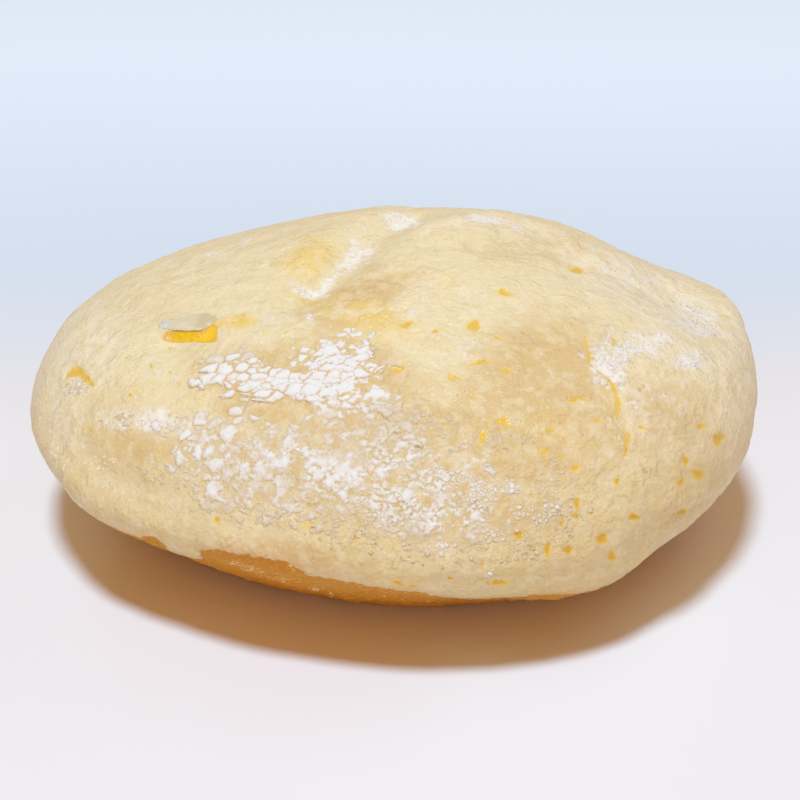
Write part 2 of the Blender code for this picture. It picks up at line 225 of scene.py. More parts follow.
# Warm tan skin: partly the dough's own tan under the flour, and partly painted shade where the skin
# is laid darker.
WARM_AND_SHADE = table(
    Patch,
    (262, 376, 80, 30, 1.0, 4), (345, 360, 60, 34, 0.8, 10), (550, 375, 85, 55, 0.5),
    (300, 556, 90, 16, 0.5, 8), (300, 466, 150, 52, 0.8, 5), (450, 490, 130, 62, 0.85, 5),
    (380, 400, 90, 40, 0.6, 10), (280, 410, 60, 14, 0.9), (362, 294, 54, 15, 1.0, -14),
    (372, 267, 12, 7, 0.6, -30), (410, 268, 36, 14, 0.25, -10), (350, 312, 56, 16, 0.8),
    (500, 250, 60, 14, 0.4, 10), (560, 420, 60, 60, 0.35), (640, 450, 60, 50, 0.35),
    (670, 405, 44, 40, 0.65), (500, 370, 60, 50, 0.25), (560, 245, 40, 14, 0.55, 16),
    (150, 300, 60, 20, 0.35, -24), (560, 590, 90, 14, 0.5, -8), (130, 450, 50, 20, 0.6, 10),
    (110, 410, 40, 30, 0.3), (300, 556, 80, 14, 0.4, 8), (560, 335, 70, 40, 0.35),
    (525, 430, 90, 46, 0.6), (690, 500, 50, 30, 0.4, -30), (130, 520, 60, 14, 0.3, 25),
)
# Painted light: patches where the skin is painted lighter, as where more light falls on it, with a
# painted highlight along the crest.
PAINTED_LIGHT_PATCHES = table(
    Patch,
    (90, 340, 50, 44, 0.55), (180, 275, 80, 22, 0.15, -24), (650, 292, 80, 28, 0.9, 22),
    (650, 295, 40, 16, 0.4, 22), (690, 350, 60, 60, 0.35), (738, 380, 24, 80, 0.5),
    (560, 245, 60, 14, 0.4, 16), (480, 222, 40, 8, 0.5), (560, 290, 60, 20, 0.1),
    (640, 420, 50, 50, 0.3), (60, 420, 20, 60, 0.4), (450, 560, 60, 10, 0.3),
    (430, 300, 70, 20, 0.15), (330, 312, 60, 8, 0.3),
)
PALE_FOLD = table(Patch, (183, 555, 20, 9, 1.0, 26))
CRUMBS = table(
    Patch,
    (75, 388, 13, 9, 2.0), (576, 402, 15, 3, 0.5, -8), (471, 329, 5, 3, 0.4),
    (235, 563, 9, 4, 1.0, 10), (254, 570, 14, 4, 1.0, 8), (281, 578, 9, 3, 1.0, 14),
    (293, 567, 5, 3, 0.8, 20), (315, 588, 8, 3, 0.9, 10), (330, 595, 4, 3, 1.0),
    (120, 537, 4, 2, 1.0, 20), (50, 410, 10, 40, 0.15, -8),
)
# The film of flour, and painted highlights: the patches along the crest paint its highlights in the
# flour's colour.
DUST_AND_HIGHLIGHTS = table(
    Patch,
    (268, 378, 88, 32, 0.2), (300, 466, 145, 54, 0.2, 5), (450, 490, 130, 64, 0.3, 5),
    (146, 421, 50, 14, 0.75), (272, 319, 16, 10, 0.5), (311, 320, 10, 7, 0.6),
    (402, 219, 24, 10, 0.85, 8), (360, 247, 20, 15, 0.7, -50), (342, 268, 18, 10, 0.6, -40),
    (309, 292, 20, 7, 1.0, 6), (328, 284, 9, 6, 0.8, -40), (293, 280, 14, 6, 0.2, 10),
    (487, 221, 20, 6, 0.75, 6), (518, 232, 9, 6, 0.5, 20), (609, 357, 24, 28, 0.7),
    (648, 345, 26, 14, 0.6), (692, 361, 22, 11, 0.8), (700, 320, 26, 18, 0.7, 40),
    (640, 278, 50, 14, 0.4, 22), (665, 330, 30, 20, 0.3), (243, 243, 10, 5, 0.6, -15),
    (214, 255, 14, 5, 0.55, -10), (470, 345, 20, 18, 0.35), (414, 312, 8, 6, 0.6),
    (504, 319, 8, 6, 0.4), (625, 400, 22, 24, 0.35), (606, 372, 18, 12, 0.3, 20),
    (660, 410, 30, 34, 0.28), (60, 356, 16, 34, 0.3), (52, 430, 14, 60, 0.3, -10),
    (470, 220, 26, 6, 0.4), (440, 240, 30, 8, 0.2, 10), (528, 226, 16, 5, 0.35, 12),
    (480, 445, 26, 24, 0.1), (516, 390, 9, 8, 0.35), (160, 372, 20, 14, 0.22),
)
GLOW = table(
    Patch,
    (309, 259, 44, 20, 0.75, -20), (240, 321, 19, 8, 1.0), (214, 326, 7, 6, 1.0),
    (345, 306, 60, 16, 0.5), (380, 330, 50, 22, 0.6), (505, 293, 14, 6, 0.8),
    (577, 268, 12, 5, 0.9), (610, 395, 14, 34, 0.5, -8), (545, 440, 40, 30, 0.3),
    (475, 326, 14, 10, 0.5), (446, 290, 14, 20, 0.4, 20), (313, 526, 14, 6, 0.8, 10),
    (398, 583, 12, 5, 0.8, 10), (500, 583, 14, 5, 0.7), (656, 505, 10, 12, 0.5),
    (160, 392, 60, 22, 0.3),
)
# Moist spots: they make the skin glossier, and they carry painted glints, bright specks laid in the
# colour.
WET_AND_GLINTS = table(
    Patch,
    (390, 300, 120, 34, 0.3), (500, 400, 60, 40, 0.12), (120, 335, 60, 50, 0.5),
    (100, 400, 60, 60, 0.3), (84, 455, 34, 44, 0.4, -30), (300, 240, 90, 20, 0.25, -20),
    (75, 388, 13, 10, 1.6), (50, 410, 12, 50, 0.7, -8), (66, 455, 10, 20, 0.7, -30),
    (110, 468, 46, 12, 0.35, 30), (171, 348, 6, 5, 0.8), (475, 328, 8, 5, 0.6),
    (460, 400, 14, 8, 0.3), (484, 372, 18, 7, 0.35), (480, 223, 14, 5, 0.8),
    (576, 402, 18, 6, 0.45, -8), (235, 563, 9, 4, 1.2, 10), (254, 570, 16, 5, 1.2, 8),
    (281, 578, 10, 4, 1.2, 14), (293, 567, 6, 3, 1.0, 20), (315, 588, 9, 4, 1.0, 10),
    (330, 595, 5, 3, 1.2), (340, 590, 90, 10, 0.4, 8),
)
SEED = 7


def srgb(red, green, blue):
    """A colour given in 0 to 255, as linear light."""
    made = []
    for part in (red, green, blue):
        share = part / 255
        made.append(share / 12.92 if share <= 0.04045 else ((share + 0.055) / 1.055) ** 2.4)
    return (*made, 1.0)


def colour_property(name, description, red, green, blue):
    return FloatVectorProperty(
        name=name, description=description, subtype="COLOR", size=4, min=0, max=1,
        default=srgb(red, green, blue),
    )


def length_property(name, description, default):
    return FloatProperty(
        name=name, description=description, default=default, min=0, unit="LENGTH", precision=5,
    )


def number_property(name, description, default, unit="NONE"):
    return FloatProperty(name=name, description=description, default=default, min=0, unit=unit)


# ---------------------------------------------------------------- photo pixels

def to_pixels(points):
    """Where the photograph's camera sees each point."""
    away = points - np.array(EYE)
    depth = -(away @ np.array(BACK))
    across = FOCAL_PIXELS * away[:, 0] / depth
    down = -FOCAL_PIXELS * (away @ np.array(UP)) / depth
    return np.stack([across, down], axis=1) + PHOTO_SIZE / 2


def pixel_ray(x, y):
    """The direction in which the camera sees a pixel."""
    across = (x - PHOTO_SIZE / 2) / FOCAL_PIXELS
    down = (y - PHOTO_SIZE / 2) / FOCAL_PIXELS
    return (Vector((1, 0, 0)) * across - UP * down - BACK).normalized()


def facing(points, normals):
    """How far each point faces the camera, from 0 at the outline."""
    towards = np.array(EYE) - points
    towards /= np.linalg.norm(towards, axis=1, keepdims=True)
    return np.einsum("ij,ij->i", towards, normals)


def turned(pixels, x, y, turn):
    """Pixels as seen from a mark's middle, turned upright."""
    c, s = math.cos(math.radians(turn)), math.sin(math.radians(turn))
    dx, dy = pixels[:, 0] - x, pixels[:, 1] - y
    return dx * c + dy * s, dy * c - dx * s


def patch_field(pixels, patches):
    """The sum of soft patches at each pixel."""
    total = np.zeros(len(pixels))
    for patch in patches:
        dx, dy = turned(pixels, patch.x, patch.y, patch.turn)
        away = (dx / patch.across) ** 2 + (dy / patch.down) ** 2
        total += patch.amount * np.exp(-away ** 1.5)
    return total


def mark_field(pixels, mark, squareness, ragged, turns):
    """1 in the middle of a mark, 0 on its ragged edge and less outside."""
    dx, dy = turned(pixels, mark.x, mark.y, mark.turn)
    dx, dy = dx / (mark.width / 2), dy / (mark.height / 2)
    angle = np.arctan2(dy, dx)
    waves = sum(np.sin(n * angle + turns[i]) / (i + 1.5) for i, n in enumerate(WAVES))
    reach = (np.abs(dx) ** squareness + np.abs(dy) ** squareness) ** (1 / squareness)
    return 1 - reach / (1 + ragged * waves)


def line_fields(pixels, line):
    """How far to one side of a line each pixel lies, and the line's half width there."""
    side, widths = np.full(len(pixels), np.inf), np.zeros(len(pixels))
    for (*start, width), (*end, next_width) in zip(line, line[1:]):
        run = np.subtract(end, start)
        share = np.clip((pixels - start) @ run / (run @ run), 0, 1)
        away = pixels - start - share[:, None] * run
        gap = np.linalg.norm(away, axis=1)
        closer = gap < np.abs(side)
        gap = np.where(run[0] * away[:, 1] < run[1] * away[:, 0], -gap, gap)
        side = np.where(closer, gap, side)
        widths = np.where(closer, width + (next_width - width) * share, widths)
    return side, widths


# ---------------------------------------------------------------- meshes

def read_vectors(items, key):
    flat = np.empty(len(items) * 3)
    items.foreach_get(key, flat)
    return flat.reshape(-1, 3)


def read_points(mesh):
    return read_vectors(mesh.vertices, "co")


def set_points(mesh, points):
    mesh.vertices.foreach_set("co", points.astype(np.float32).ravel())
    mesh.update()


def store(mesh, name, values):
    """Keeps a value for each vertex in a named attribute."""
    kind, key = ("FLOAT", "value") if values.ndim == 1 else ("FLOAT_VECTOR", "vector")
    attribute = mesh.attributes.new(name, kind, "POINT")
    attribute.data.foreach_set(key, values.astype(np.float32).ravel())


def tree_of(mesh):
    return BVHTree.FromPolygons(
        [v.co for v in mesh.vertices], [tuple(p.vertices) for p in mesh.polygons]
    )


def new_piece(name, mesh):
    """A piece at the origin, in place of any older one of its name."""
    old = bpy.data.objects.get(name)
    if old is not None:
        bpy.data.objects.remove(old)
    made = bpy.data.objects.new(name, mesh)
    bpy.context.scene.collection.objects.link(made)
    return made


def finish_piece(piece, material):
    """Gives a piece its finish, and lets it ride on the bun."""
    piece.data.materials.clear()
    piece.data.materials.append(material)
    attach(piece, BODY)


def fine_sphere():
    """Even directions all round, closer together on the side that the photograph shows."""
    made = bmesh.new()
    bmesh.ops.create_cube(made, size=2)
    bmesh.ops.subdivide_edges(made, edges=made.edges[:], cuts=SKIN_CUTS, use_grid_fill=True)
    mesh = bpy.data.meshes.new("bun_skin")
    made.to_mesh(mesh)
    made.free()
    towards = np.tan(read_points(mesh) * math.pi / 4)
    towards /= np.linalg.norm(towards, axis=1, keepdims=True)

    pole = np.array([0, -math.cos(SKIN_ZOOM_ANGLE), math.sin(SKIN_ZOOM_ANGLE)])
    along = towards @ pole
    aside = towards - along[:, None] * pole
    width = np.linalg.norm(aside, axis=1)
    angle = np.arctan2(width, along)
    drawn = 2 * np.arctan(np.tan(angle / 2) / SKIN_ZOOM)
    aside /= np.maximum(width, 1e-9)[:, None]
    return mesh, np.cos(drawn)[:, None] * pole + np.sin(drawn)[:, None] * aside


def places_on_solid(towards):
    """Where each direction from the middle of the bun meets the CAD solid."""
    solid = bmesh.new()
    solid.from_mesh(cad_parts[CAD_NODE].data)
    bmesh.ops.remove_doubles(solid, verts=solid.verts, dist=MERGE_DISTANCE)
    tree = BVHTree.FromBMesh(solid)
    solid.free()
    places = []
    for way in towards:
        place = tree.ray_cast(RIM_MIDDLE, Vector(way))[0]
        if place is None:
            place = tree.find_nearest(RIM_MIDDLE + Vector(way) * NEAR_SKIN)[0]
        places.append(place)
    return np.array(places)


def edge_ends(mesh):
    """The two vertices of each edge."""
    ends = np.empty(len(mesh.edges) * 2, np.int32)
    mesh.edges.foreach_get("vertices", ends)
    return ends.reshape(-1, 2)


def eased(points, edges):
    """Smooths the facets of the solid away, by the same distance everywhere."""
    number = len(points)
    count = np.bincount(edges.ravel(), minlength=number)
    lengths = np.linalg.norm(points[edges[:, 0]] - points[edges[:, 1]], axis=1)
    spacing = np.bincount(edges.ravel(), np.repeat(lengths, 2), number) / count
    strength = 0.5 * np.minimum(1, (EASING_SPACING / spacing) ** 2)
    strength[points[:, 2] < TOUCHES_FLOOR] = 0
    for _ in range(EASING_ROUNDS):
        sums = [
            np.bincount(edges[:, 0], points[edges[:, 1], axis], number)
            + np.bincount(edges[:, 1], points[edges[:, 0], axis], number)
            for axis in range(3)
        ]
        mean = np.stack(sums, axis=1) / count[:, None]
        points = points + strength[:, None] * (mean - points)
    points[:, 2] = points[:, 2].clip(0)
    return points


def brown_field(points, tree):
    """How far below the edge of the pale skin each point lies."""
    azimuths, heights = [], []
    for x, y, drop in BROWN_EDGE:
        # A place just past the outline moves up to where the bun begins.
        place = None
        while place is None:
            place = tree.ray_cast(EYE, pixel_ray(x, y))[0]
            y -= 1
        azimuths.append(math.atan2(place.y, place.x))
        heights.append(place.z - drop * MM)
    order = np.argsort(azimuths)
    azimuths, heights = np.array(azimuths)[order], np.array(heights)[order]
    first, last = azimuths[0] - BROWN_BACK_MARGIN, azimuths[-1] + BROWN_BACK_MARGIN
    azimuths = np.concatenate([[first], azimuths, [last]])
    heights = np.concatenate([[BROWN_BACK_HEIGHT], heights, [BROWN_BACK_HEIGHT]])
    azimuth = np.arctan2(points[:, 1], points[:, 0])
    line = np.interp(azimuth, azimuths, heights)
    return line - points[:, 2]


def fold_field(pixels):
    """How high the folds lift each point of the skin."""
    height = np.zeros(len(pixels))
    for fold in FOLDS:
        side, width = line_fields(pixels, fold.line)
        height += fold.height * MM * np.exp(-(side / width) ** 2)
    return height


def torn_field(pixels):
    """Positive inside each pit."""
    rng = np.random.default_rng(SEED)
    field = np.full(len(pixels), -1.0)
    for mark in PITS:
        turns = rng.uniform(0, math.tau, len(WAVES))
        field = np.maximum(field, mark_field(pixels, mark, PIT_SQUARENESS, PIT_RAGGED, turns))
    return field.clip(-1, 1)


# ---------------------------------------------------------------- node trees

class Value:
    """An output of a node, which can be reckoned with and fed to other nodes."""

    def __init__(self, graph, socket):
        self.graph = graph
        self.socket = socket

    def __add__(self, other):
        return self.graph.math("ADD", self, other)

    def __mul__(self, other):
        return self.graph.math("MULTIPLY", self, other)

    def __sub__(self, other):
        return self.graph.math("SUBTRACT", self, other)

    def __rsub__(self, other):
        return self.graph.math("SUBTRACT", other, self)

    def __abs__(self):
        return self.graph.math("ABSOLUTE", self)

    __radd__ = __add__
    __rmul__ = __mul__


class Graph:
    """Adds nodes to a shader or geometry tree, fed with plain values or with nodes' outputs."""

    def __init__(self, tree):
        self.tree = tree
        self.is_geometry = tree.bl_idname == "GeometryNodeTree"

    def feed(self, socket, value):
        if isinstance(value, Value):
            self.tree.links.new(value.socket, socket)
        else:
            socket.default_value = value

    def node(self, kind, inputs=None, **settings):
        """Adds a node and gives its outputs."""
        made = self.tree.nodes.new(kind)
        for name, value in settings.items():
            setattr(made, name, value)
        for key, value in (inputs or {}).items():
            self.feed(made.inputs[key], value)
        return [Value(self, socket) for socket in made.outputs]

    def math(self, operation, *values):
        return self.node("ShaderNodeMath", dict(enumerate(values)), operation=operation)[0]

    def most(self, a, b):
        return self.math("MAXIMUM", a, b)

    def vector(self, operation, *values):
        return self.node("ShaderNodeVectorMath", dict(enumerate(values)), operation=operation)[0]

    def scaled(self, a, scale):
        return self.node("ShaderNodeVectorMath", {0: a, "Scale": scale}, operation="SCALE")[0]

    def part(self, vector, axis):
        """One of the three parts of a place or a colour."""
        return self.node("ShaderNodeSeparateXYZ", {0: vector})[axis]

    def step(self, value, low, high):
        """0 below the low value, 1 above the high one, and smooth between them."""
        inputs = {0: value, 1: low, 2: high, 3: 0.0, 4: 1.0}
        return self.node("ShaderNodeMapRange", inputs, interpolation_type="SMOOTHSTEP")[0]

    def spread(self, value, low, high):
        """A value from 0 to 1, spread between two others."""
        return self.node("ShaderNodeMapRange", {0: value, 3: low, 4: high})[0]

    def noise(self, place, size, detail=2.0, roughness=0.5, output=0):
        return self.node("ShaderNodeTexNoise", {
            "Vector": place, "Scale": 1 / size, "Detail": detail, "Roughness": roughness,
        })[output]

    def cells(self, place, size, feature="F1", randomness=1.0):
        """The distance in a pattern of cells, and each cell's random colour."""
        return self.node("ShaderNodeTexVoronoi", {
            "Vector": place, "Scale": 1 / size, "Randomness": randomness,
        }, feature=feature)[:2]

    def blend(self, share, a, b):
        """A mix of two colours."""
        return self.node("ShaderNodeMix", {0: share, 6: a, 7: b}, data_type="RGBA")[2]

    def layered(self, colour, *layers):
        """Lays colours over a first one, each by its share."""
        for share, upper in layers:
            colour = self.blend(share, colour, upper)
        return colour

    def place(self):
        """Where each point lies on the piece."""
        if self.is_geometry:
            return self.node("GeometryNodeInputPosition")[0]
        return self.node("ShaderNodeTexCoord")[3]

    def read(self, name, vector=False):
        """A stored attribute of the mesh."""
        if self.is_geometry:
            kind = "FLOAT_VECTOR" if vector else "FLOAT"
            return self.node("GeometryNodeInputNamedAttribute", {"Name": name}, data_type=kind)[0]
        return self.node("ShaderNodeAttribute", attribute_name=name)[1 if vector else 2]


def new_geometry_tree(name, numbers):
    """A geometry tree with a named input for each number."""
    tree = bpy.data.node_groups.new(name, "GeometryNodeTree")
    tree.interface.new_socket("Geometry", in_out="INPUT", socket_type="NodeSocketGeometry")
    for label, value in numbers.items():
        kind = "NodeSocketInt" if isinstance(value, int) else "NodeSocketFloat"
        socket = tree.interface.new_socket(label, in_out="INPUT", socket_type=kind)
        socket.default_value = value
    tree.interface.new_socket("Material", in_out="INPUT", socket_type="NodeSocketMaterial")
    tree.interface.new_socket("Geometry", in_out="OUTPUT", socket_type="NodeSocketGeometry")
    graph = Graph(tree)
    return graph, {value.socket.name: value for value in graph.node("NodeGroupInput")}


def end_geometry_tree(graph, geometry, material):
    real = graph.node("GeometryNodeRealizeInstances", {0: geometry})[0]
    done = graph.node("GeometryNodeSetMaterial", {"Geometry": real, "Material": material})[0]
    graph.node("NodeGroupOutput", {0: done})
    return graph.tree


def pushed_out(graph, geometry, height):
    """Moves each point along its normal."""
    normal = graph.node("GeometryNodeInputNormal")[0]
    return graph.node("GeometryNodeSetPosition", {
        "Geometry": geometry, "Offset": graph.scaled(normal, height),
    })[0]


def labelled(settings, *names):
    """Some of a group's settings, under the labels of a geometry tree's inputs."""
    return {name.replace("_", " ").title(): getattr(settings, name) for name in names}


def apply_modifiers(piece):
    """Keeps what a piece's modifiers make as its plain mesh."""
    graph = bpy.context.evaluated_depsgraph_get()
    mesh = bpy.data.meshes.new_from_object(piece.evaluated_get(graph), depsgraph=graph)
    mesh.name = piece.name
    piece.modifiers.clear()
    piece.data = mesh
    if not mesh.polygons:
        raise RuntimeError(f"{piece.name} came out empty")


def run_geometry_tree(piece, tree, numbers, material):
    """Runs a tree on a piece and keeps the result as its plain mesh."""
    modifier = piece.modifiers.new(tree.name, "NODES")
    modifier.node_group = tree
    values = {**numbers, "Material": material}
    for item in tree.interface.items_tree:
        if item.in_out == "INPUT" and item.name in values:
            modifier[item.identifier] = values[item.name]
    apply_modifiers(piece)


def new_material(name):
    made = bpy.data.materials.new(name)
    made.use_nodes = True
    tree = made.node_tree
    return made, Graph(tree), tree.nodes["Principled BSDF"].inputs


def set_shader(graph, shader, values):
    for name, value in values.items():
        graph.feed(shader[name], value)


def add_bump(graph, shader, height, strength, distance):
    bump = graph.node("ShaderNodeBump", {
        "Height": height, "Strength": strength, "Distance": distance,
    })[0]
    graph.feed(shader["Normal"], bump)


# ---------------------------------------------------------------- the skin

def crack_depth(graph, place):
    """1 in the middle of the crack and 0 outside, in a shader or a geometry tree."""
    ragged = graph.noise(place, 0.6 * MM, 3.0, 0.6) - 0.5
    reach = graph.read("crack_width") * (4.0 * ragged + 1.0)
    return graph.step(reach - abs(graph.read("crack_side")), -0.8, 1.6)


class MochiSkinSettings(bpy.types.PropertyGroup):
    """The sizes and colours of the skin."""

    # Pale skin at the top and tan skin lower down paint the shade: lighter above, darker lower
    # down.
    pale: colour_property("Pale skin", "Steamed skin at the top", 239, 224, 182)
    tan: colour_property("Tan skin", "Skin of the lower side", 227, 207, 159)
    glow: colour_property("Yellow skin", "Where the filling shows through", 241, 212, 124)
    # Partly the dough's own tan, and partly painted shade.
    warm_and_shade: colour_property("Warm skin", "Darker moist dough", 222, 194, 137)
    cream: colour_property("Cream skin", "Drier pale blotches", 246, 234, 200)
    speckle: colour_property("Speckles", "Fine uneven specks", 216, 198, 152)
    pore: colour_property("Pores", "Fine dark pores", 196, 160, 96)
    amber: colour_property("Amber", "Inside the torn pits", 240, 206, 108)
    deep: colour_property("Deep amber", "The deepest part of the pits", 226, 182, 56)
    slot: colour_property("Slot", "Inside the torn slot", 246, 200, 44)
    slot_edge: colour_property("Slot edge", "The duller rim of the slot", 234, 188, 88)
    toast: colour_property("Toasted skin", "Just above the baked base", 214, 160, 104)
    brown: colour_property("Browned base", "The upper edge of the baked base", 204, 140, 52)
    dark: colour_property("Dark base", "The lower side of the baked base", 212, 144, 46)
    # This colour also paints the highlights along the crest.
    dust: colour_property("Dust", "A thin film of flour", 244, 240, 230)
    # Painted glints: bright specks laid in the colour, on the skin and on the baked base.
    painted_glint: colour_property("Glints", "Moist bright specks", 255, 246, 222)
    painted_base_glint: colour_property("Base glints", "Glints on the baked base", 246, 214, 158)
    # Painted light: the lighter skin laid on the painted-light patches.
    painted_light_colour: colour_property("Milky skin", "Where the skin is thick and dry", 250, 243, 222)
    pit_depth: length_property("Pit depth", "How deep the torn pits are", 0.14 * MM)
    slot_depth: length_property("Slot depth", "How deep the torn slot is", 0.30 * MM)
    lump_height: length_property("Lump height", "Unevenness of the dough", 0.8 * MM)
    wrinkle_height: length_property("Wrinkle height", "Height of the fine wrinkles", 0.12 * MM)
    grain_height: length_property("Grain height", "Height of the fine grain", 0.16 * MM)
    crinkle_height: length_property("Crinkle height", "Crinkles of the baked base", 0.6 * MM)


def skin_tree(numbers):
    """Lumps, wrinkles and crinkles, and the torn places, pressed into the skin."""
    graph, given = new_geometry_tree("Skin Relief", numbers)
    place = graph.place()
    lumps = graph.noise(place, 6 * MM, 3.0, 0.55) - 0.5
    wrinkles = abs(graph.noise(place, 1.6 * MM, 3.0, 0.6) - 0.5) - 0.1
    crinkle = graph.noise(place, 1.6 * MM, 3.0) - 0.5
    baked = graph.step(graph.read("brown"), 0.0, 1 * MM)
    grainy = graph.noise(place, 0.8 * MM, 3.0, 0.7) - 0.5
    height = lumps * given["Lump Height"] + graph.read("fold")
    height = height + wrinkles * given["Wrinkle Height"] * 4.0
    height = height + crinkle * given["Crinkle Height"] * baked
    height = height + grainy * given["Grain Height"]

    torn = graph.most(graph.step(graph.read("torn"), -0.1, 0.45), 0.8 * crack_depth(graph, place))
    slot = graph.step(graph.read("slot"), -0.05, 0.35) * given["Slot Depth"]
    height = height - graph.most(torn * given["Pit Depth"], slot)
    height = height * graph.step(graph.part(place, 2), 0.0, 2 * MM)
    skin = pushed_out(graph, given["Geometry"], height)
    return end_geometry_tree(graph, skin, given["Material"])


def skin_material(settings):
    """Moist pale dough: mottled, with pores, amber tears, a browned base and a film of flour. It
    also carries painted shade lower down, painted light and highlights, and painted glints.
    """
    material, graph, shader = new_material("Mochi skin")
    place = graph.place()
    broad = graph.noise(place, 12 * MM, 3.0, 0.6)
    fine = graph.noise(place, 0.5 * MM, 5.0, 0.75)
    grain = graph.noise(place, 0.25 * MM, 1.0)
    cream = graph.noise(place, 1.7 * MM, 2.5, 0.55)

    # Dough: paler above and tan lower down, a painted shade; yellow where it is thin, and mottled
    # lower down.
    lower = graph.step(graph.part(place, 2) + 8 * MM * broad, 34 * MM, 12 * MM)
    mottled = graph.spread(lower, 0.4, 1.0)
    yellow = graph.step(graph.noise(place, 3.0 * MM), 0.42, 0.62)
    warm_and_shade = graph.step(0.3 * (fine - 0.5) + graph.read("warm_and_shade"), 0.05, 1.0)
    glow = graph.step(broad - 0.5 + graph.read("glow"), 0.1, 1.0)
    # The stored pale field is painted light.
    painted_light = graph.read("pale") * graph.step(cream, 0.25, 0.65)
    distance, random = graph.cells(place, 0.95 * MM)
    pore_size = 0.14 * graph.step(graph.part(random, 0), 0.5, 1.0)
    pore = graph.step(distance - pore_size, 0.06, -0.04)

    # Tears: the pits and the crack, and the slot with its bright right end.
    torn = graph.read("torn") + 0.6 * (fine - 0.5)
    crack = crack_depth(graph, place)
    inside = graph.most(graph.step(torn, -0.18, 0.24), 0.85 * crack)
    deep = graph.step(graph.most(torn, 0.5 * crack), 0.0, 0.55)
    amber = graph.blend(deep * mottled, settings.amber, settings.deep)
    slot = graph.read("slot")
    bright = graph.step(graph.part(place, 0), -29 * MM, -23 * MM) + graph.noise(place, 1.4 * MM)
    bright = graph.step(bright, 0.5, 1.1) * graph.step(slot, 0.1, 0.4)
    in_slot = graph.step(slot + 0.12 * fine, -0.02, 0.16)

    # The baked base.
    brown = graph.read("brown") + 1.2 * MM * (graph.noise(place, 0.9 * MM, 3.0) - 0.5)
    is_brown = graph.step(brown, -BROWN_BLEND, -0.5 * BROWN_BLEND)
    baked = graph.layered(
        settings.brown,
        (graph.step(brown, 1 * MM, 7 * MM), settings.dark),
        (0.7 * graph.step(fine, 0.5, 0.75), settings.amber),
    )

    # The film of flour, which also paints highlights along the crest, and moist spots with painted
    # glints.
    cloud = graph.noise(place, 0.55 * MM, 6.0, 0.8) - 0.5
    patchy = graph.noise(place, 1.6 * MM, 3.0, 0.6) - 0.5
    cover = 2.0 * cloud + graph.read("dust") + 1.8 * patchy
    # The flour film, which also paints the highlights along the crest.
    dust_and_highlight = graph.step(cover - 0.6 * graph.most(is_brown, inside), 0.30, 0.85)
    wet_and_glints = graph.read("wet_and_glints")
    # Painted glints: bright specks, chosen most where the skin is wet.
    distance, random = graph.cells(graph.vector("MULTIPLY", place, (0.6, 1.0, 1.0)), 0.4 * MM)
    chosen = graph.step(graph.part(random, 1) + 0.45 * wet_and_glints, 0.88, 0.97)
    glint_speck = graph.step(distance, 0.36, 0.12) * chosen
    glint_speck = glint_speck * ((wet_and_glints + 0.4) * graph.spread(inside, 1.0, 0.3))

    colour = graph.layered(
        settings.pale,
        # Painted shade: the skin turns tan lower down.
        (lower, settings.tan),
        (0.28 * yellow * mottled, settings.glow),
        # Partly tan dough, and partly painted shade.
        (warm_and_shade, settings.warm_and_shade),
        (glow, settings.glow),
        (0.35 * graph.step(cream, 0.44, 0.64), settings.cream),
        # Painted light: lighter skin where more light falls.
        (0.75 * painted_light, settings.painted_light_colour),
        (0.62 * graph.step(fine, 0.44, 0.64) * mottled, settings.speckle),
        (0.45 * pore * mottled, settings.pore),
        (inside, amber),
        (in_slot, graph.blend(bright, settings.slot_edge, settings.slot)),
        (0.4 * graph.step(brown, -2.2 * MM, 0.2 * MM), settings.toast),
        (is_brown, baked),
        (0.9 * dust_and_highlight, settings.dust),
        # Painted glints.
        (glint_speck, graph.blend(is_brown, settings.painted_glint, settings.painted_base_glint)),
    )
    rough = 0.42 + 0.38 * dust_and_highlight - 0.14 * inside + 0.4 * is_brown - 0.2 * graph.most(glint_speck, wet_and_glints)
    set_shader(graph, shader, {
        "Base Color": colour, "Roughness": rough, "Specular IOR Level": 0.22,
        "Subsurface Weight": 0.12, "Subsurface Radius": (1.0, 0.6, 0.25),
        "Subsurface Scale": 1.5 * MM,
    })
    dents = graph.noise(place, 0.6 * MM) * graph.spread(graph.step(yellow, 0.1, 0.9), 0.6, 1.3)
    bumps = dents + 0.3 * grain + 0.12 * dust_and_highlight - 0.25 * pore
    add_bump(graph, shader, bumps, 0.95, 0.20 * MM)
    return material


